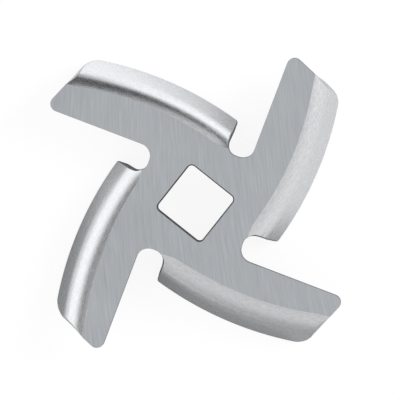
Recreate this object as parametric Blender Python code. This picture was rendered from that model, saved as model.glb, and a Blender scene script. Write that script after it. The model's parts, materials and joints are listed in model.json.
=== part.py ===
"""Meat grinder knife, stamped from one sheet of stainless steel.

Four arms turn about a square drive hole. The ground face is on top. Each arm has a straight
leading edge, and its curved trailing side is bent down into a flange, on which the knife rests.

The part's Z axis is the drive axis, X and Y run along the flats of the square hole, and Z is zero
at the lower edges of the flanges. Seen from above, the knife turns anticlockwise.
"""

import math

import bmesh
import bpy
from mathutils import Matrix, Vector

# Sheet and bend, in metres
sheet_thickness = 0.0015
bend_outside_radius = 0.0039
bend_angle = math.radians(68.0)
ground_depth = 0.00004

# Square drive hole
hole_side = 0.0080
hole_corner_radius = 0.00065
hole_edge_break_width = 0.00015
hole_edge_break_depth = 0.00025

# Arms, with X out along the arm and its leading edge facing +Y. The slot's rounds are shares of
# its width: the front one runs into the leading edge, the rear one into the next arm's flange.
arm_count = 4
arm_turn = math.radians(17.7)
leading_edge_offset = 0.00516
slot_width = 0.00375
slot_floor_distance = 0.00832
slot_front_round = 0.48
slot_rear_round = 0.40
tip_distance = 0.02495
tip_slant = math.radians(22.2)
tip_corner_radius = 0.0011

# Curved outer edge of the flange, seen from above. At the flange's inner end the crease moves
# outward, and runs out into the slot's rear round.
outer_edge_radius = 0.0492
arm_width = 0.00944
widest_distance = 0.0119
flange_reach = 0.0044
flange_tip_radius = 0.0028
flange_heel_radius = 0.00035
heel_crease_shift = 0.00075
heel_crease_run = 0.0035

# Fineness of the round stretches
corner_steps = 6
bend_steps = 8
flange_columns = 26
crease_rounds = 8
least_row_step = 0.00003

steel_colour = (0.43, 0.44, 0.455, 1.0)
steel_roughness = 0.34

# Worked out from the sizes above
crease_angle = math.acos(1.0 - ground_depth / bend_outside_radius)
bend_plan_width = bend_outside_radius * (math.sin(bend_angle) - math.sin(crease_angle))
bend_line_radius = outer_edge_radius - flange_reach
outer_centre = Vector((widest_distance, outer_edge_radius - leading_edge_offset - arm_width))
heel_x = slot_width - leading_edge_offset
slot_front_radius = slot_width * slot_front_round
slot_rear_radius = slot_width * slot_rear_round
slot_rear_centre = Vector((heel_x - slot_rear_radius, -slot_floor_distance - slot_rear_radius))
tip_up = Vector((math.sin(tip_slant), math.cos(tip_slant)))
tip_inward = Vector((-tip_up.y, tip_up.x))
tip_point = Vector((tip_distance, -leading_edge_offset))


def clear_scene():
    for scene_object in list(bpy.data.objects):
        bpy.data.objects.remove(scene_object, do_unlink=True)


def arc(centre, radius, start, end, steps):
    """Points of an arc, both ends included."""
    points = []
    for step in range(steps + 1):
        angle = start + (end - start) * step / steps
        points.append(centre + Vector((math.cos(angle), math.sin(angle))) * radius)
    return points


def drop_at(distance):
    """How far the flange's outside has come down at a plan distance from the bend line."""
    if distance <= bend_plan_width:
        sine = math.sin(crease_angle) + distance / bend_outside_radius
        return bend_outside_radius * (math.cos(crease_angle) - math.sqrt(1.0 - sine * sine))
    bend_drop = bend_outside_radius * (math.cos(crease_angle) - math.cos(bend_angle))
    return bend_drop + (distance - bend_plan_width) * math.tan(bend_angle)


def slope_at(distance):
    """Slope of the flange's outside at a plan distance from the bend line."""
    if distance <= bend_plan_width:
        return math.asin(math.sin(crease_angle) + distance / bend_outside_radius)
    return bend_angle


flat_height = drop_at(flange_reach) + sheet_thickness * math.cos(slope_at(flange_reach))


def on_ring(radius, angle):
    """Plan point on a circle about the outer edge's centre, with angle zero along -Y."""
    return outer_centre + Vector((math.sin(angle), -math.cos(angle))) * radius


def ring_angle(point):
    offset = point - outer_centre
    return math.atan2(offset.x, -offset.y)


def tip_line_distance(radius, inset):
    """Distance from the tip point, along the tip line moved in by inset, to a ring."""
    start = tip_point + tip_inward * inset - outer_centre
    along = start.dot(tip_up)
    return along + math.sqrt(along * along - start.length_squared + radius * radius)


def tip_round_centre():
    inner = outer_edge_radius - flange_tip_radius
    distance = tip_line_distance(inner, flange_tip_radius)
    return tip_point + tip_inward * flange_tip_radius - tip_up * distance


def heel_round_centre():
    inner = outer_edge_radius - flange_heel_radius
    x = heel_x + flange_heel_radius
    across = x - outer_centre.x
    return Vector((x, outer_centre.y - math.sqrt(inner * inner - across * across)))


def round_half_angle(radius, centre, round_radius):
    """Angle at the outer edge's centre between a corner round's centre and its crossing of a ring."""
    reach = (centre - outer_centre).length
    cosine = (radius * radius + reach * reach - round_radius * round_radius) / (2.0 * radius * reach)
    return math.acos(min(1.0, cosine))


def tip_end_angle(radius):
    """Where a ring meets the arm's slanted tip or its round."""
    centre = tip_round_centre()
    tangent = centre - tip_inward * flange_tip_radius
    if radius <= (tangent - outer_centre).length:
        return ring_angle(tip_point - tip_up * tip_line_distance(radius, 0.0))
    return ring_angle(centre) + round_half_angle(radius, centre, flange_tip_radius)


def heel_end_angle(radius):
    """Where a ring meets the slot's rear round, the flange's inner end or its outer round."""
    slot_round_end = Vector((heel_x, slot_rear_centre.y))
    if radius <= (slot_round_end - outer_centre).length:
        half = round_half_angle(radius, slot_rear_centre, slot_rear_radius)
        return ring_angle(slot_rear_centre) + half
    centre = heel_round_centre()
    tangent = Vector((heel_x, centre.y))
    if radius <= (tangent - outer_centre).length:
        return math.asin((heel_x - outer_centre.x) / radius)
    return ring_angle(centre) - round_half_angle(radius, centre, flange_heel_radius)


def round_ring_radii(centre, round_radius, first, last):
    """Ring radii through evenly spaced points of a corner round."""
    points = arc(centre, round_radius, first, last, corner_steps)
    return [(point - outer_centre).length for point in points]


def flange_radii():
    """Radii of the rings that carry the flange's rows, from the bend line to the outer edge."""
    radii = []
    for step in range(1, bend_steps + 1):
        angle = crease_angle + (bend_angle - crease_angle) * step / bend_steps
        radii.append(bend_line_radius + bend_outside_radius * (math.sin(angle) - math.sin(crease_angle)))
    tip_centre = tip_round_centre()
    heel_centre = heel_round_centre()
    tip_last = ring_angle(tip_centre) - math.pi / 2.0
    heel_last = ring_angle(heel_centre) - math.pi / 2.0
    radii += round_ring_radii(tip_centre, flange_tip_radius, -tip_slant, tip_last)
    radii += round_ring_radii(heel_centre, flange_heel_radius, -math.pi, heel_last)
    rows = [bend_line_radius]
    for radius in sorted(radii):
        if rows[-1] + least_row_step < radius < outer_edge_radius - least_row_step:
            rows.append(radius)
    return rows + [outer_edge_radius]


def crease_shift(angle):
    """How far the crease lies outside the bend line, by the angle at the outer edge's centre."""
    heel = heel_end_angle(bend_line_radius + heel_crease_shift)
    left = 1.0 - (angle - heel) * bend_line_radius / heel_crease_run
    left = max(0.0, min(1.0, left))
    return heel_crease_shift * left * left * (3.0 - 2.0 * left)


def flange_point(radius, share):
    """Point of the flange's outside on one row, at a share of the way from inner end to tip."""
    reach = (outer_edge_radius - radius) / flange_reach
    here = radius + heel_crease_shift * reach
    for _ in range(crease_rounds):
        heel = heel_end_angle(here)
        angle = heel + (tip_end_angle(here) - heel) * share
        shift = crease_shift(angle)
        here = radius + shift * reach
    height = flat_height - drop_at(here - bend_line_radius) + drop_at(shift) * reach * reach
    point = on_ring(here, angle)
    return Vector((point.x, point.y, height))


def tip_corner():
    """Round between the slanted tip and the leading edge."""
    x = tip_distance - tip_corner_radius * (math.tan(tip_slant) + 1.0 / math.cos(tip_slant))
    centre = Vector((x, -leading_edge_offset - tip_corner_radius))
    return arc(centre, tip_corner_radius, -tip_slant, math.pi / 2.0, corner_steps)


def slot_end():
    """Slot ahead of the leading edge: front round, floor, and rear round as far as the crease."""
    x = slot_floor_distance + slot_front_radius
    front = Vector((x, slot_front_radius - leading_edge_offset))
    points = arc(front, slot_front_radius, -math.pi / 2.0, -math.pi, corner_steps)
    crease = flange_point(bend_line_radius, 0.0)
    rear = Vector((-slot_rear_centre.y, slot_rear_centre.x))
    end = math.atan2(crease.x - rear.y, -crease.y - rear.x)
    return points + arc(rear, slot_rear_radius, math.pi, end, corner_steps)[:-1]


def top_surface():
    """The knife's upper skin: one flat face, and a curved band of faces down each flange."""
    mesh_data = bmesh.new()
    flat_loop = []
    for arm in range(arm_count):
        turn = Matrix.Rotation(arm_turn + 2.0 * math.pi * arm / arm_count, 3, 'Z')
        rows = []
        for radius in flange_radii():
            shares = [column / flange_columns for column in range(flange_columns + 1)]
            points = [turn @ flange_point(radius, share) for share in shares]
            rows.append([mesh_data.verts.new(point) for point in points])
        for inner, outer in zip(rows, rows[1:]):
            for column in range(flange_columns):
                corners = (inner[column], outer[column], outer[column + 1], inner[column + 1])
                mesh_data.faces.new(corners)
        flat_loop += rows[0]
        for point in tip_corner() + slot_end():
            flat_loop.append(mesh_data.verts.new(turn @ Vector((point.x, point.y, flat_height))))
    mesh_data.faces.new(flat_loop)
    mesh = bpy.data.meshes.new("knife")
    mesh_data.to_mesh(mesh)
    mesh_data.free()
    return mesh


def rounded_square(side, corner_radius):
    points = []
    reach = side / 2.0 - corner_radius
    for quarter in range(4):
        start = quarter * math.pi / 2.0
        centre = Matrix.Rotation(start, 2) @ Vector((reach, reach))
        points += arc(centre, corner_radius, start, start + math.pi / 2.0, corner_steps)
    return points


def drive_hole_cutter():
    """Square prism with round corners, wider where it breaks the hole's upper edge."""
    overrun = sheet_thickness
    flare = hole_edge_break_width * (overrun + hole_edge_break_depth) / hole_edge_break_depth
    levels = (
        (flat_height - sheet_thickness - overrun, 0.0),
        (flat_height - hole_edge_break_depth, 0.0),
        (flat_height + overrun, flare),
    )
    mesh_data = bmesh.new()
    rings = []
    for height, growth in levels:
        outline = rounded_square(hole_side + growth * 2.0, hole_corner_radius + growth)
        rings.append([mesh_data.verts.new((point.x, point.y, height)) for point in outline])
    for lower, upper in zip(rings, rings[1:]):
        for index in range(len(lower)):
            after = (index + 1) % len(lower)
            mesh_data.faces.new((lower[index], lower[after], upper[after], upper[index]))
    mesh_data.faces.new(reversed(rings[0]))
    mesh_data.faces.new(rings[-1])
    mesh = bpy.data.meshes.new("drive_hole_cutter")
    mesh_data.to_mesh(mesh)
    mesh_data.free()
    cutter = bpy.data.objects.new("drive_hole_cutter", mesh)
    cutter.hide_render = True
    cutter.display_type = 'WIRE'
    bpy.context.collection.objects.link(cutter)
    return cutter


def steel():
    material = bpy.data.materials.new("stainless_steel")
    material.use_nodes = True
    shader = material.node_tree.nodes["Principled BSDF"]
    shader.inputs["Base Color"].default_value = steel_colour
    shader.inputs["Metallic"].default_value = 1.0
    shader.inputs["Roughness"].default_value = steel_roughness
    return material


def knife():
    mesh = top_surface()
    mesh.shade_smooth()
    mesh.set_sharp_from_angle(angle=math.radians(30.0))
    mesh.materials.append(steel())
    blade = bpy.data.objects.new("knife", mesh)
    bpy.context.collection.objects.link(blade)
    sheet = blade.modifiers.new("sheet", 'SOLIDIFY')
    sheet.thickness = sheet_thickness
    sheet.offset = -1.0
    sheet.use_even_offset = True
    hole = blade.modifiers.new("drive_hole", 'BOOLEAN')
    hole.operation = 'DIFFERENCE'
    hole.solver = 'EXACT'
    hole.object = drive_hole_cutter()
    return blade


clear_scene()
knife()
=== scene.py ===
import json
import math

import bmesh
import bpy
from mathutils import Matrix, Vector


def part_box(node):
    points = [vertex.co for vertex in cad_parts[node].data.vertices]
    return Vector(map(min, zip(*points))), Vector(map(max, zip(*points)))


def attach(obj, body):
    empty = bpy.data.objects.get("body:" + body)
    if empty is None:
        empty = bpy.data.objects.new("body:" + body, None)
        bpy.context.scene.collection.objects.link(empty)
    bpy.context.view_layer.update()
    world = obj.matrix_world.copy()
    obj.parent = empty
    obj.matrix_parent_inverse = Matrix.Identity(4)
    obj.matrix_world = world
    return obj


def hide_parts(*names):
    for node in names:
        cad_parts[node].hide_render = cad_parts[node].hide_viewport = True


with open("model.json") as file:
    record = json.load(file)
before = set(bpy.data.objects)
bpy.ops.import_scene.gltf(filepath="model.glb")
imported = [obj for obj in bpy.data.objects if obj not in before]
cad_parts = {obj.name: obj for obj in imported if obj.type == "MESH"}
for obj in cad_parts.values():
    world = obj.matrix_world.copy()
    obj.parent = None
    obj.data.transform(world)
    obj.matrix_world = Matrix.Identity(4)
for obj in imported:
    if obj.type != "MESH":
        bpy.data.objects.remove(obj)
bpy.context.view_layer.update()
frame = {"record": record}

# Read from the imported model, in metres
flat_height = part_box("knife")[1].z
mount_places = {mount["name"]: mount["pos_m"] for mount in frame["record"]["mounts"]}
hole_side = 2.0 * mount_places["drive_flat_east"][0]
sheet_thickness = mount_places["cutting_face"][2] - mount_places["hub_back_face"][2]

# Sizes of the stamped sheet, as the part's source has them
bend_radius = 0.0039
bend_angle = math.radians(68.0)
arm_count = 4
arm_turn = math.radians(17.7)
leading_edge_offset = 0.00516
slot_width = 0.00375
slot_floor_distance = 0.00832
slot_front_radius = 0.48 * slot_width
slot_rear_radius = 0.40 * slot_width
tip_distance = 0.02495
tip_slant = math.radians(22.2)
tip_corner_radius = 0.0011
outer_edge_radius = 0.0492
arm_width = 0.00944
widest_distance = 0.0119
flange_tip_radius = 0.0028
flange_heel_radius = 0.00035
hole_corner_radius = 0.00065
tangent_radius = outer_edge_radius - 0.004957

# Depth ground off the sheet at the hole's centre, and how it grows toward the picture's top and
# right: it sets where the ground face ends on each arm
ground_depth = 0.000055
ground_depth_up = 0.0055
ground_depth_right = 0.0010
least_ground_depth = 0.000001

# How far the crease moves outward at each end of a flange, and over what length
heel_crease_shift = 0.00095
heel_crease_run = 0.0034
tip_crease_shift = 0.00030
tip_crease_run = 0.0030

# How each point's ring angle is found: rounds at most, share of each change, and its tolerance
crease_rounds = 40
crease_damping = 0.5
crease_tolerance = 1e-6

# Fine shapes that the solid leaves out
ground_edge_round = 0.00003
flange_edge_round = 0.00016
back_edge_round = 0.00012
tip_draw = 0.00020
heel_draw = 0.00010
back_crease_lag = 0.00030
hole_profile = (
    (0.00018, 0.0), (0.000165, 0.00002), (0.00014, 0.00006), (0.00010, 0.00013),
    (0.00006, 0.00021), (0.00002, 0.00030), (0.0, 0.00038),
)
hole_back_round = 0.00010

bend_rows = 28
straight_rows = 20
columns = 72
corner_steps = 12
round_steps = 4

# Places of the materials on the mesh
GROUND, FORMED, SHEARED, PUNCHED, RIM = range(5)

sharp_angle = math.radians(40.0)
weld_distance = 1e-9

# Part directions of the picture's right and up
picture_turn = math.radians(-51.6)
picture_right = Vector((math.cos(picture_turn), math.sin(picture_turn), 0.0))
picture_up = Vector((-math.sin(picture_turn), math.cos(picture_turn), 0.0))

outer_centre = Vector((widest_distance, outer_edge_radius - leading_edge_offset - arm_width))
heel_x = slot_width - leading_edge_offset
slot_rear_centre = Vector((heel_x - slot_rear_radius, -slot_floor_distance - slot_rear_radius))
tip_up = Vector((math.sin(tip_slant), math.cos(tip_slant)))
tip_inward = Vector((-tip_up.y, tip_up.x))
tip_point = Vector((tip_distance, -leading_edge_offset))


def arm_turns():
    angles = [arm_turn + 2.0 * math.pi * arm / arm_count for arm in range(arm_count)]
    return [Matrix.Rotation(angle, 3, 'Z') for angle in angles]


def arc(centre, radius, start, end, steps):
    points = []
    for step in range(steps + 1):
        angle = start + (end - start) * step / steps
        points.append(centre + Vector((math.cos(angle), math.sin(angle))) * radius)
    return points


def ring_point(radius, angle):
    """Plan point on a circle about the outer edge's centre, with angle zero along -Y."""
    return outer_centre + Vector((math.sin(angle), -math.cos(angle))) * radius


def ring_angle(point):
    offset = point - outer_centre
    return math.atan2(offset.x, -offset.y)


def tip_line_distance(radius, inset):
    start = tip_point + tip_inward * inset - outer_centre
    along = start.dot(tip_up)
    return along + math.sqrt(along * along - start.length_squared + radius * radius)


def half_angle(radius, centre, corner):
    reach = (centre - outer_centre).length
    cosine = (radius * radius + reach * reach - corner * corner) / (2.0 * radius * reach)
    return math.acos(max(-1.0, min(1.0, cosine)))


def tip_end_angle(radius, inset, outer, corner):
    """Where a ring meets the arm's slanted tip, or the round between tip and outer edge."""
    distance = tip_line_distance(outer - corner, inset + corner)
    centre = tip_point + tip_inward * (inset + corner) - tip_up * distance
    tangent = centre - tip_inward * corner
    if radius <= (tangent - outer_centre).length:
        meeting = tip_point + tip_inward * inset - tip_up * tip_line_distance(radius, inset)
        return ring_angle(meeting)
    return ring_angle(centre) + half_angle(radius, centre, corner)


def heel_end_angle(radius, inset, outer, corner):
    """Where a ring meets the slot's rear round, the flange's inner end or its outer round."""
    slot_round_end = Vector((heel_x + inset, slot_rear_centre.y))
    if radius <= (slot_round_end - outer_centre).length:
        half = half_angle(radius, slot_rear_centre, slot_rear_radius + inset)
        return ring_angle(slot_rear_centre) + half
    x = heel_x + inset + corner
    across = x - outer_centre.x
    inner = outer - corner
    centre = Vector((x, outer_centre.y - math.sqrt(inner * inner - across * across)))
    tangent = Vector((heel_x + inset, centre.y))
    if radius <= (tangent - outer_centre).length:
        return math.asin((heel_x + inset - outer_centre.x) / radius)
    return ring_angle(centre) - half_angle(radius, centre, corner)


def smooth_share(value):
    value = max(0.0, min(1.0, value))
    return value * value * (3.0 - 2.0 * value)


def depth_ground_off(turn, angle):
    """Depth ground off the sheet where the bend starts, at a ring angle of the turned arm."""
    point = ring_point(tangent_radius, angle)
    point = turn @ Vector((point.x, point.y, 0.0))
    depth = ground_depth + ground_depth_up * point.dot(picture_up)
    depth += ground_depth_right * point.dot(picture_right)
    return (depth + math.sqrt(depth * depth + 4.0 * least_ground_depth ** 2)) / 2.0


def crease_shift(angle):
    """How far the crease moves outward near the ends of the flange."""
    heel_radius = tangent_radius + heel_crease_shift
    heel = heel_end_angle(heel_radius, 0.0, outer_edge_radius, flange_heel_radius)
    tip = tip_end_angle(tangent_radius, 0.0, outer_edge_radius, flange_tip_radius)
    heel_left = 1.0 - (angle - heel) * tangent_radius / heel_crease_run
    tip_left = 1.0 - (tip - angle) * tangent_radius / tip_crease_run
    shift = heel_crease_shift * min(1.0, max(0.0, heel_left)) ** 2
    return shift + tip_crease_shift * min(1.0, max(0.0, tip_left)) ** 2


def station(turn, angle, row, back, rounding):
    """Radius, height, inset and draw of one row of a flange's outside or back at a ring angle."""
    depth = depth_ground_off(turn, angle)
    top_crease = bend_radius * math.sin(math.acos(1.0 - depth / bend_radius)) + crease_shift(angle)
    centre_height = flat_height + depth - bend_radius
    bend = bend_radius
    crease = top_crease
    edge_round = flange_edge_round
    start_round = ground_edge_round
    face_height = flat_height
    if back:
        bend = bend_radius - sheet_thickness - depth
        crease = max(0.0, top_crease - back_crease_lag)
        edge_round = back_edge_round
        start_round = back_edge_round
        face_height = flat_height - sheet_thickness
    first_angle = math.asin(crease / bend)
    lift = face_height - centre_height - bend * math.cos(first_angle)
    reach = outer_edge_radius - tangent_radius - crease
    if row <= bend_rows:
        share = row / bend_rows
        slope = first_angle + (bend_angle - first_angle) * share
        distance = bend * math.sin(slope)
        height = centre_height + bend * math.cos(slope)
        draw = 0.0 if back else math.sin(math.pi * share)
        inset = (start_round + (edge_round - start_round) * smooth_share(3.0 * share)) * rounding
    else:
        left = 1.0 - (row - bend_rows) / straight_rows
        start = bend_radius * math.sin(bend_angle)
        length = (outer_edge_radius - tangent_radius - start) / math.cos(bend_angle)
        back_bend = bend_radius - sheet_thickness - depth
        lowest = centre_height + back_bend * math.cos(bend_angle) - length * math.sin(bend_angle)
        length += min(0.0, lowest) / math.sin(bend_angle)
        length -= edge_round * rounding
        along = length * (1.0 - left * left)
        distance = bend * math.sin(bend_angle) + along * math.cos(bend_angle)
        height = centre_height + bend * math.cos(bend_angle) - along * math.sin(bend_angle)
        draw = 0.0
        inset = edge_round * rounding
    fade = max(0.0, 1.0 - (distance - crease) / reach)
    return tangent_radius + distance, height + lift * fade * fade, inset, draw


def flange_rows(turn, back, rounding):
    """Rows of points down one flange's outside or back; rounding is 1 at the rounds' inner border."""
    edge_round = (back_edge_round if back else flange_edge_round) * rounding
    tightening = edge_round * math.cos(bend_angle)
    outer = outer_edge_radius - tightening
    if back:
        outer -= sheet_thickness * math.sin(bend_angle)
    rows = []
    for row in range(bend_rows + straight_rows + 1):
        points = []
        for column in range(columns + 1):
            angle = 0.0
            for _ in range(crease_rounds):
                radius, height, inset, draw = station(turn, angle, row, back, rounding)
                heel_inset = inset + draw * heel_draw
                heel = heel_end_angle(radius, heel_inset, outer, flange_heel_radius - tightening)
                tip_inset = inset + draw * tip_draw
                tip = tip_end_angle(radius, tip_inset, outer, flange_tip_radius - tightening)
                change = heel + (tip - heel) * column / columns - angle
                angle += change * crease_damping
                if abs(change) < crease_tolerance:
                    break
            point = ring_point(radius, angle)
            points.append(turn @ Vector((point.x, point.y, height)))
        rows.append(points)
    return rows


def flat_rim(turn, inset, height, crease):
    """Points of an arm's tip corner and of the slot ahead of it, as far as the next arm's crease."""
    x = tip_distance - tip_corner_radius * (math.tan(tip_slant) + 1.0 / math.cos(tip_slant))
    centre = Vector((x, -leading_edge_offset - tip_corner_radius))
    points = arc(centre, tip_corner_radius - inset, -tip_slant, math.pi / 2.0, corner_steps)
    x = slot_floor_distance + slot_front_radius
    front = Vector((x, slot_front_radius - leading_edge_offset))
    points += arc(front, slot_front_radius + inset, -math.pi / 2.0, -math.pi, corner_steps)
    rear = Vector((-slot_rear_centre.y, slot_rear_centre.x))
    local = turn.inverted() @ crease
    end = math.atan2(local.y - rear.y, local.x - rear.x)
    points += arc(rear, slot_rear_radius + inset, math.pi, end, corner_steps)[:-1]
    return [turn @ Vector((point.x, point.y, height)) for point in points]


def skin(back, rounding):
    """Rows of every flange, the closed border of the skin, its materials, and the flat's border."""
    height = flat_height - sheet_thickness if back else flat_height
    inset = (back_edge_round if back else ground_edge_round) * rounding
    turns = arm_turns()
    all_rows = [flange_rows(turn, back, rounding) for turn in turns]
    border = []
    materials = []
    flat_border = []
    for arm, rows in enumerate(all_rows):
        next_crease = all_rows[(arm + 1) % arm_count][0][0]
        rim = flat_rim(turns[arm], inset, height, next_crease)
        heel_side = [row[0] for row in rows]
        far_side = rows[-1][1:] + [row[-1] for row in reversed(rows[:-1])]
        border += heel_side + far_side + rim
        materials += [SHEARED] * (len(heel_side) - 1) + [RIM] * len(far_side)
        materials += [SHEARED] * (len(rim) + 1)
        flat_border += rows[0] + rim
    return all_rows, border, materials, flat_border


def draw_place(point, turn):
    """Lengths along and across a flange, in metres, by which its streaks are laid."""
    local = turn.inverted() @ point
    plan = Vector((local.x, local.y))
    return ring_angle(plan) * tangent_radius, (plan - outer_centre).length - local.z


def rounded_square(side, corner_radius, height):
    points = []
    reach = side / 2.0 - corner_radius
    for quarter in range(4):
        start = quarter * math.pi / 2.0
        centre = Matrix.Rotation(start, 2) @ Vector((reach, reach))
        for point in arc(centre, corner_radius, start, start + math.pi / 2.0, corner_steps):
            points.append(Vector((point.x, point.y, height)))
    return points


def hole_rings():
    levels = list(hole_profile)
    for step in range(round_steps + 1):
        angle = math.pi / 2.0 * step / round_steps
        growth = hole_back_round * (1.0 - math.cos(angle))
        levels.append((growth, sheet_thickness - hole_back_round * (1.0 - math.sin(angle))))
    rings = []
    for growth, depth in levels:
        side = hole_side + 2.0 * growth
        rings.append(rounded_square(side, hole_corner_radius + growth, flat_height - depth))
    return rings


def curved(start, corner, end, share):
    """Point on the round from start to end that bends toward the corner between them."""
    left = 1.0 - share
    return start * left ** 2 + corner * (2.0 * share * left) + end * share ** 2


def knife_mesh():
    """The whole sheet as one closed mesh."""
    shape = bmesh.new()
    draw_layer = shape.loops.layers.uv.new("draw")
    known = {}

    def vertex(point):
        key = tuple(round(value / weld_distance) for value in point)
        if key not in known:
            known[key] = shape.verts.new(point)
        return known[key]

    def face(corners, material, turn=None):
        corners = [vertex(point) for point in corners]
        unique = []
        for corner in corners:
            if corner not in unique:
                unique.append(corner)
        if len(unique) > 2:
            made = shape.faces.new(unique)
            made.material_index = material
            made.smooth = True
            for loop in made.loops:
                place = loop.vert.co
                loop[draw_layer].uv = draw_place(place, turn) if turn else (place.x, place.y)

    def band(upper, lower, materials):
        for index, material in enumerate(materials):
            after = (index + 1) % len(upper)
            face((upper[index], lower[index], lower[after], upper[after]), material)

    top_rows, top_inset, materials, top_flat = skin(False, 1.0)
    top_edge = skin(False, 0.0)[1]
    back_edge = skin(True, 0.0)[1]
    back_rows, back_inset, _, back_flat = skin(True, 1.0)
    for all_rows in (top_rows, back_rows):
        for turn, rows in zip(arm_turns(), all_rows):
            for inner, outer in zip(rows, rows[1:]):
                for column in range(columns):
                    after = column + 1
                    face((inner[column], outer[column], outer[after], inner[after]), FORMED, turn)

    loops = [top_inset]
    for step in range(1, round_steps + 1):
        share = step / round_steps
        loop = []
        for inner, corner, below in zip(top_inset, top_edge, back_edge):
            size = (corner - inner).length
            wall = corner + (below - corner).normalized() * size
            loop.append(curved(inner, corner, wall, share))
        loops.append(loop)
    back_loops = []
    for step in range(round_steps):
        share = step / round_steps
        loop = []
        for inner, corner, above in zip(back_inset, back_edge, top_edge):
            size = (corner - inner).length
            wall = corner + (above - corner).normalized() * size
            loop.append(curved(wall, corner, inner, share))
        back_loops.append(loop)
    loops += back_loops + [back_inset]
    for upper, lower in zip(loops, loops[1:]):
        band(upper, lower, materials)

    rings = hole_rings()
    for upper, lower in zip(rings, rings[1:]):
        band(upper, lower, [PUNCHED] * len(upper))

    flat_borders = []
    for border, ring, material in ((top_flat, rings[0], GROUND), (back_flat, rings[-1], FORMED)):
        edges = []
        for points in (border, ring):
            for index in range(len(points)):
                ends = (vertex(points[index]), vertex(points[(index + 1) % len(points)]))
                edges.append(shape.edges.get(ends) or shape.edges.new(ends))
        filled = bmesh.ops.triangle_fill(shape, use_beauty=True, use_dissolve=False, edges=edges)
        for made in filled["geom"]:
            if isinstance(made, bmesh.types.BMFace):
                made.material_index = material
                made.smooth = True
                for loop in made.loops:
                    loop[draw_layer].uv = (loop.vert.co.x, loop.vert.co.y)
        flat_borders += edges
    bmesh.ops.recalc_face_normals(shape, faces=shape.faces)
    for edge in shape.edges:
        edge.smooth = edge.calc_face_angle() < sharp_angle
    for edge in flat_borders:
        edge.smooth = False
    mesh = bpy.data.meshes.new("knife_blade")
    shape.to_mesh(mesh)
    shape.free()
    return mesh


# Where the picture's centre is, in pixels from the hole's centre, and the camera's tilt
photo_pixels = 400.0
pixels_per_metre = 7025.0
centre_right = 4.6
centre_up = 3.2
tilt_right = 0.057
tilt_up = 0.053
camera_distance = 2.0
sensor_width = 36.0
near_clip = 0.01


def add_camera():
    aim = (picture_right * centre_right + picture_up * centre_up) / pixels_per_metre
    aim.z = flat_height
    toward = (picture_right * tilt_right + picture_up * tilt_up + Vector((0.0, 0.0, 1.0))).normalized()
    side = picture_up.cross(toward).normalized()
    up = toward.cross(side)
    data = bpy.data.cameras.new("camera")
    data.sensor_width = sensor_width
    data.lens = sensor_width * camera_distance * pixels_per_metre / photo_pixels
    data.clip_start = near_clip
    camera = bpy.data.objects.new("camera", data)
    bpy.context.scene.collection.objects.link(camera)
    place = Matrix((side, up, toward)).transposed().to_4x4()
    place.translation = aim + toward * camera_distance
    camera.matrix_world = place
    bpy.context.scene.camera = camera


class Nodes:
    """Adds nodes to a material's or world's tree and joins them."""

    def __init__(self, owner):
        owner.use_nodes = True
        self.tree = owner.node_tree
        self.tree.nodes.clear()

    def add(self, kind, settings=None, **inputs):
        node = self.tree.nodes.new(kind)
        for name, value in (settings or {}).items():
            setattr(node, name, value)
        for name, value in inputs.items():
            key = name.replace("_", " ")
            if key not in node.inputs:
                key = int(name[1:])
            if isinstance(value, bpy.types.NodeSocket):
                self.tree.links.new(value, node.inputs[key])
            else:
                node.inputs[key].default_value = value
        return node

    def math(self, operation, first, second=0.0, third=0.0):
        node = self.add("ShaderNodeMath", {"operation": operation}, _0=first, _1=second, _2=third)
        return node.outputs[0]

    def vector(self, operation, first, second=(0.0, 0.0, 0.0), output="Vector"):
        node = self.add("ShaderNodeVectorMath", {"operation": operation}, _0=first, _1=second)
        return node.outputs[output]

    def noise(self, place, scale, detail, roughness):
        node = self.add(
            "ShaderNodeTexNoise", {"noise_dimensions": '3D'},
            Vector=place, Scale=scale, Detail=detail, Roughness=roughness,
        )
        return node.outputs["Fac"]

    def mixed(self, first, first_share, second, second_share):
        first = self.math('MULTIPLY', first, first_share)
        second = self.math('MULTIPLY', second, second_share)
        return self.math('ADD', first, second)

    def spread(self, value, low, high, to_low, to_high):
        node = self.add(
            "ShaderNodeMapRange", None, Value=value,
            From_Min=low, From_Max=high, To_Min=to_low, To_Max=to_high,
        )
        return node.outputs["Result"]

    def scaled(self, place, size, turn=0.0):
        node = self.add("ShaderNodeMapping", {"vector_type": 'POINT'}, Vector=place)
        node.inputs["Rotation"].default_value = (0.0, 0.0, turn)
        node.inputs["Scale"].default_value = size
        return node.outputs["Vector"]

    def shades(self, value, dark, light):
        node = self.add("ShaderNodeMix", {"data_type": 'RGBA'})
        self.tree.links.new(value, node.inputs[0])
        node.inputs[6].default_value = dark
        node.inputs[7].default_value = light
        return node.outputs[2]


# Ground face: its grain is near upright in the picture and leans more toward the lower right. The
# noises' scales are per metre, across and along the grain
grain_lean = 0.096
grain_fan = 4.4
grain_curl = -2.2
grain_fine_scale = (8500.0, 230.0, 1.0)
grain_coarse_scale = (3200.0, 110.0, 1.0)
scratch_scale = (6500.0, 110.0, 1.0)
cloud_scale = 90.0
fine_share = 0.65
coarse_share = 0.35
lines_share = 0.85
cloud_share = 0.15
scratch_range = (0.66, 0.78)
scratch_gain = 0.16
ground_range = (0.28, 0.72)
ground_dark = (0.520, 0.543, 0.573, 1.0)
ground_light = (0.718, 0.747, 0.779, 1.0)
ground_rough = (0.28, 0.40)
ground_bump = 0.6
ground_bump_height = 0.000006

# Formed flanges and back: streaks and waves are laid along and across each flange
streak_scale = (1000.0, 4400.0, 1.0)
speck_scale = 4600.0
wave_scale = (260.0, 420.0, 1.0)
streak_share = 0.65
speck_share = 0.35
formed_range = (0.35, 0.65)
formed_dark = (0.655, 0.667, 0.687, 1.0)
formed_light = (0.825, 0.837, 0.855, 1.0)
formed_rough = (0.22, 0.30)
wave_bump = 0.55
wave_bump_height = 0.000008
formed_bump = 0.8
formed_bump_height = 0.000005

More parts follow.
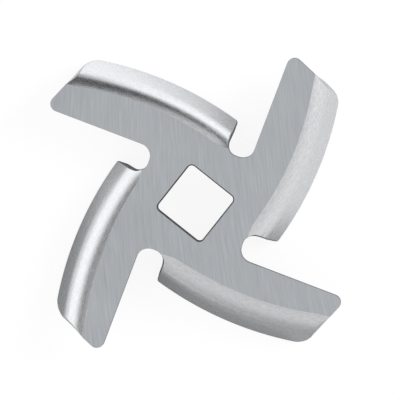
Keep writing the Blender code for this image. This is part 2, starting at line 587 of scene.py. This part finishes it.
# Walls: sheared at the slots and leading edges, punched in the hole, tumbled on the flanges' rims.
# Their colours are darker than the faces' steel, partly for the rougher cut finish and partly as
# painted shade of the dark lines along walls and rims
wall_scale = (5000.0, 5000.0, 500.0)
wall_rough = (0.54, 0.68)
wall_bump = 0.5
wall_bump_height = 0.00001
sheared_tone_and_painted_shade = ((0.20, 0.21, 0.225, 1.0), (0.30, 0.315, 0.33, 1.0))
punched_tone_and_painted_shade = ((0.12, 0.125, 0.135, 1.0), (0.20, 0.21, 0.22, 1.0))
rim_tone_and_painted_shade = ((0.49, 0.50, 0.515, 1.0), (0.63, 0.64, 0.655, 1.0))

# Range of a noise over which roughness and the walls' colours run
noise_range = (0.3, 0.7)
whole_range = (0.0, 1.0)


def finish_steel(material, nodes, colour, rough, bump):
    shader = nodes.add("ShaderNodeBsdfPrincipled", None, Metallic=1.0,
                       Roughness=rough, Normal=bump.outputs[0])
    nodes.tree.links.new(colour, shader.inputs["Base Color"])
    nodes.add("ShaderNodeOutputMaterial", None, Surface=shader.outputs[0])
    return material


def ground_steel():
    material = bpy.data.materials.new("steel_ground")
    nodes = Nodes(material)
    place = nodes.add("ShaderNodeTexCoord").outputs["Object"]
    turned = nodes.scaled(place, (1.0, 1.0, 1.0), -picture_turn)
    parts = nodes.add("ShaderNodeSeparateXYZ", None, Vector=turned)
    right, up = parts.outputs[0], parts.outputs[1]
    lean = nodes.math('MULTIPLY_ADD', up, grain_curl, grain_lean)
    lean = nodes.math('MULTIPLY_ADD', right, grain_fan, lean)
    across = nodes.math('MULTIPLY_ADD', up, lean, right)
    grain = nodes.add("ShaderNodeCombineXYZ", None, X=across, Y=up).outputs[0]
    fine = nodes.noise(nodes.scaled(grain, grain_fine_scale), 1.0, detail=2.0, roughness=0.6)
    coarse = nodes.noise(nodes.scaled(grain, grain_coarse_scale), 1.0, detail=2.0, roughness=0.5)
    scratch = nodes.noise(nodes.scaled(grain, scratch_scale), 1.0, detail=1.0, roughness=0.5)
    cloud = nodes.noise(place, cloud_scale, detail=2.0, roughness=0.5)
    lines = nodes.mixed(fine, fine_share, coarse, coarse_share)
    tone = nodes.mixed(lines, lines_share, cloud, cloud_share)
    tone = nodes.math('ADD', tone, nodes.spread(scratch, *scratch_range, 0.0, scratch_gain))
    colour = nodes.shades(nodes.spread(tone, *ground_range, *whole_range), ground_dark, ground_light)
    rough = nodes.spread(lines, *noise_range, *ground_rough)
    bump = nodes.add("ShaderNodeBump", None, Strength=ground_bump,
                     Distance=ground_bump_height, Height=lines)
    return finish_steel(material, nodes, colour, rough, bump)


def formed_steel():
    material = bpy.data.materials.new("steel_formed")
    nodes = Nodes(material)
    place = nodes.add("ShaderNodeTexCoord").outputs["Object"]
    draw = nodes.add("ShaderNodeUVMap", {"uv_map": "draw"}).outputs[0]
    streak = nodes.noise(nodes.scaled(draw, streak_scale), 1.0, detail=3.0, roughness=0.6)
    speck = nodes.noise(place, speck_scale, detail=2.0, roughness=0.6)
    wave = nodes.noise(nodes.scaled(draw, wave_scale), 1.0, detail=2.0, roughness=0.5)
    tone = nodes.mixed(streak, streak_share, speck, speck_share)
    colour = nodes.shades(nodes.spread(tone, *formed_range, *whole_range), formed_dark, formed_light)
    rough = nodes.spread(tone, *noise_range, *formed_rough)
    wavy = nodes.add("ShaderNodeBump", None, Strength=wave_bump,
                     Distance=wave_bump_height, Height=wave)
    bump = nodes.add("ShaderNodeBump", None, Strength=formed_bump,
                     Distance=formed_bump_height, Height=tone, Normal=wavy.outputs[0])
    return finish_steel(material, nodes, colour, rough, bump)


def wall_steel(name, dark, light):
    """Wall of the sheet, with fine lines through its thickness."""
    material = bpy.data.materials.new(name)
    nodes = Nodes(material)
    place = nodes.add("ShaderNodeTexCoord").outputs["Object"]
    streak = nodes.noise(nodes.scaled(place, wall_scale), 1.0, detail=3.0, roughness=0.6)
    colour = nodes.shades(nodes.spread(streak, *noise_range, *whole_range), dark, light)
    rough = nodes.spread(streak, *noise_range, *wall_rough)
    bump = nodes.add("ShaderNodeBump", None, Strength=wall_bump,
                     Distance=wall_bump_height, Height=streak)
    return finish_steel(material, nodes, colour, rough, bump)


def add_knife():
    mesh = knife_mesh()
    for material in (
        ground_steel(), formed_steel(),
        # The walls' colours are partly painted shade
        wall_steel("steel_sheared", *sheared_tone_and_painted_shade),
        wall_steel("steel_punched", *punched_tone_and_painted_shade),
        wall_steel("steel_rim", *rim_tone_and_painted_shade),
    ):
        mesh.materials.append(material)
    blade = bpy.data.objects.new("knife_blade", mesh)
    bpy.context.scene.collection.objects.link(blade)
    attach(blade, "root")
    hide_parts("knife")


white = (1.0, 1.0, 1.0, 1.0)

# Floor: its shade to the camera, its plain shade in the light it gives back, and a painted floor that
# only metal
# sees: a painted shadow patch, darker toward the picture's bottom, and a painted sheen, brighter
# beyond a line toward its top left
floor_size = 3.0
floor_shadow_share = 0.14
floor_glow = 0.89
floor_shade = 0.85
floor_painted_shadow_shade = 0.38
floor_far_shade = 0.84
floor_patch_right = -0.005
floor_patch_up = -0.040
floor_patch_stretch = 0.6
floor_patch_full = 0.024
floor_patch_gone = 0.032
floor_painted_sheen = 0.08
floor_bright_angle = 105.0
floor_bright_start = 0.014
floor_bright_full = 0.027
floor_painted_bright_sheen = 0.40


def grey(level):
    return (level, level, level, 1.0)


def add_floor():
    mesh = bpy.data.meshes.new("floor")
    size = floor_size
    corners = [(-size, -size, 0.0), (size, -size, 0.0), (size, size, 0.0), (-size, size, 0.0)]
    mesh.from_pydata(corners, [], [(0, 1, 2, 3)])
    floor = bpy.data.objects.new("floor", mesh)
    bpy.context.scene.collection.objects.link(floor)
    material = bpy.data.materials.new("floor_white")
    nodes = Nodes(material)
    path = nodes.add("ShaderNodeLightPath")

    def lifted(shade, glow):
        diffuse = nodes.add("ShaderNodeBsdfDiffuse", None, Color=shade)
        emission = nodes.add("ShaderNodeEmission", None, Color=white, Strength=glow)
        both = nodes.add("ShaderNodeAddShader", None)
        nodes.tree.links.new(diffuse.outputs[0], both.inputs[0])
        nodes.tree.links.new(emission.outputs[0], both.inputs[1])
        return both.outputs[0]

    def chosen(fac, first, second):
        mix = nodes.add("ShaderNodeMixShader", None)
        nodes.tree.links.new(fac, mix.inputs[0])
        nodes.tree.links.new(first, mix.inputs[1])
        nodes.tree.links.new(second, mix.inputs[2])
        return mix.outputs[0]

    place = nodes.add("ShaderNodeTexCoord").outputs["Object"]
    turned = nodes.scaled(place, (1.0, 1.0, 1.0), -picture_turn)
    # Painted shadow: a patch of darker floor that only metal sees, near the knife toward the picture's
    # bottom
    offset = nodes.vector('SUBTRACT', turned, (floor_patch_right, floor_patch_up, 0.0))
    offset = nodes.vector('MAXIMUM', offset, (-floor_size, 0.0, 0.0))
    offset = nodes.vector('MULTIPLY', offset, (1.0, floor_patch_stretch, 1.0))
    away = nodes.vector('LENGTH', offset, output="Value")
    share = nodes.add("ShaderNodeMapRange", {"interpolation_type": 'SMOOTHSTEP'}, Value=away,
                      From_Min=floor_patch_full, From_Max=floor_patch_gone,
                      To_Min=floor_painted_shadow_shade, To_Max=floor_far_shade).outputs[0]
    # Painted sheen: the floor glows for metal only, brighter beyond a line toward the picture's top
    # left, painting a reflection on the flanges
    bright_side = tuple(picture_direction(floor_bright_angle, 90.0))
    ahead = nodes.vector('DOT_PRODUCT', place, bright_side, "Value")
    glow = nodes.add("ShaderNodeMapRange", {"interpolation_type": 'SMOOTHSTEP'}, Value=ahead,
                     From_Min=floor_bright_start, From_Max=floor_bright_full,
                     To_Min=floor_painted_sheen, To_Max=floor_painted_bright_sheen).outputs[0]
    # What metal sees of the floor: its shade with the painted shadow patch, and the painted sheen
    seen_in_metal = nodes.add("ShaderNodeCombineColor", None, Red=share, Green=share, Blue=share)
    to_camera = lifted(grey(floor_shadow_share), floor_glow)
    to_metal = lifted(seen_in_metal.outputs[0], glow)
    plain = nodes.add("ShaderNodeBsdfDiffuse", None, Color=grey(floor_shade))
    given_back = chosen(path.outputs["Is Glossy Ray"], plain.outputs[0], to_metal)
    shown = chosen(path.outputs["Is Camera Ray"], given_back, to_camera)
    nodes.add("ShaderNodeOutputMaterial", None, Surface=shown)
    mesh.materials.append(material)


def picture_direction(angle, zenith):
    """World direction toward a picture angle, zenith degrees away from straight up."""
    angle = math.radians(angle)
    zenith = math.radians(zenith)
    flat = picture_right * math.cos(angle) + picture_up * math.sin(angle)
    return flat * math.sin(zenith) + Vector((0.0, 0.0, math.cos(zenith)))


# Level of the light tent, and the soft cards in it: picture angle at the middle, half its width
# where it is full and where it is gone, zenith angles where it starts, is full, is still full and
# is gone, and the level it adds
world_level = 0.73
least_world_level = 0.02
cards = (
    (58.0, 9.0, 20.0, 41.0, 52.0, 61.0, 74.0, -0.66),
    (58.0, 16.0, 34.0, 20.0, 30.0, 50.0, 62.0, -0.11),
    (85.0, 8.0, 18.0, 23.0, 37.0, 61.0, 72.0, -0.64),
    (96.0, 8.0, 22.0, 55.0, 62.0, 84.0, 97.0, -0.62),
    (56.0, 20.0, 36.0, 68.0, 80.0, 120.0, 125.0, 0.60),
    (150.0, 40.0, 62.0, 2.0, 8.0, 31.0, 47.0, -0.43),
    (163.0, 32.0, 50.0, 38.0, 60.0, 120.0, 125.0, 0.54),
    (333.0, 26.0, 50.0, 30.0, 68.0, 120.0, 125.0, 0.14),
    (262.0, 10.0, 44.0, 38.0, 88.0, 120.0, 125.0, -0.28),
)


def soft_step(nodes, value, start, full, strength=1.0):
    node = nodes.add("ShaderNodeMapRange", {"interpolation_type": 'SMOOTHSTEP'}, Value=value,
                     From_Min=start, From_Max=full, To_Min=0.0, To_Max=strength)
    return node.outputs[0]


def add_world():
    """Light tent: an even dome with soft darker and brighter cards low around it."""
    world = bpy.data.worlds.new("studio")
    bpy.context.scene.world = world
    nodes = Nodes(world)
    direction = nodes.add("ShaderNodeTexCoord").outputs["Generated"]
    right = nodes.vector('DOT_PRODUCT', direction, tuple(picture_right), "Value")
    up = nodes.vector('DOT_PRODUCT', direction, tuple(picture_up), "Value")
    top = nodes.vector('DOT_PRODUCT', direction, (0.0, 0.0, 1.0), "Value")
    zenith = nodes.math('DEGREES', nodes.math('ARCCOSINE', top))
    level = world_level
    for angle, full_width, width, start, full, still_full, gone, strength in cards:
        turn = math.radians(angle)
        ahead = nodes.math('ADD', nodes.math('MULTIPLY', right, math.cos(turn)),
                           nodes.math('MULTIPLY', up, math.sin(turn)))
        aside = nodes.math('SUBTRACT', nodes.math('MULTIPLY', up, math.cos(turn)),
                           nodes.math('MULTIPLY', right, math.sin(turn)))
        away = nodes.math('DEGREES', nodes.math('ABSOLUTE', nodes.math('ARCTAN2', aside, ahead)))
        part = soft_step(nodes, away, width, full_width, strength)
        part = nodes.math('MULTIPLY', part, soft_step(nodes, zenith, start, full))
        part = nodes.math('MULTIPLY', part, soft_step(nodes, zenith, gone, still_full))
        level = nodes.math('ADD', part, level)
    level = nodes.math('MAXIMUM', level, least_world_level)
    soft = nodes.add("ShaderNodeBackground", None, Color=white, Strength=level)
    backdrop = nodes.add("ShaderNodeBackground", None, Color=white, Strength=1.0)
    path = nodes.add("ShaderNodeLightPath")
    mix = nodes.add("ShaderNodeMixShader", None)
    nodes.tree.links.new(path.outputs["Is Camera Ray"], mix.inputs[0])
    nodes.tree.links.new(soft.outputs[0], mix.inputs[1])
    nodes.tree.links.new(backdrop.outputs[0], mix.inputs[2])
    nodes.add("ShaderNodeOutputWorld", None, Surface=mix.outputs[0])


# Key lamp: picture angle and zenith, distance, size and power
key_angle = 23.0
key_zenith = 60.0
key_distance = 0.8
key_width = 0.30
key_height = 0.36
key_power = 3.1


def add_lights():
    lamp = bpy.data.lights.new("key", 'AREA')
    lamp.shape = 'RECTANGLE'
    lamp.size = key_width
    lamp.size_y = key_height
    lamp.energy = key_power
    light = bpy.data.objects.new("key", lamp)
    bpy.context.scene.collection.objects.link(light)
    toward = picture_direction(key_angle, key_zenith)
    light.location = toward * key_distance
    light.rotation_euler = toward.to_track_quat('Z', 'Y').to_euler()


add_camera()
add_world()
add_lights()
add_floor()
add_knife()

bpy.context.scene.view_settings.view_transform = 'Standard'
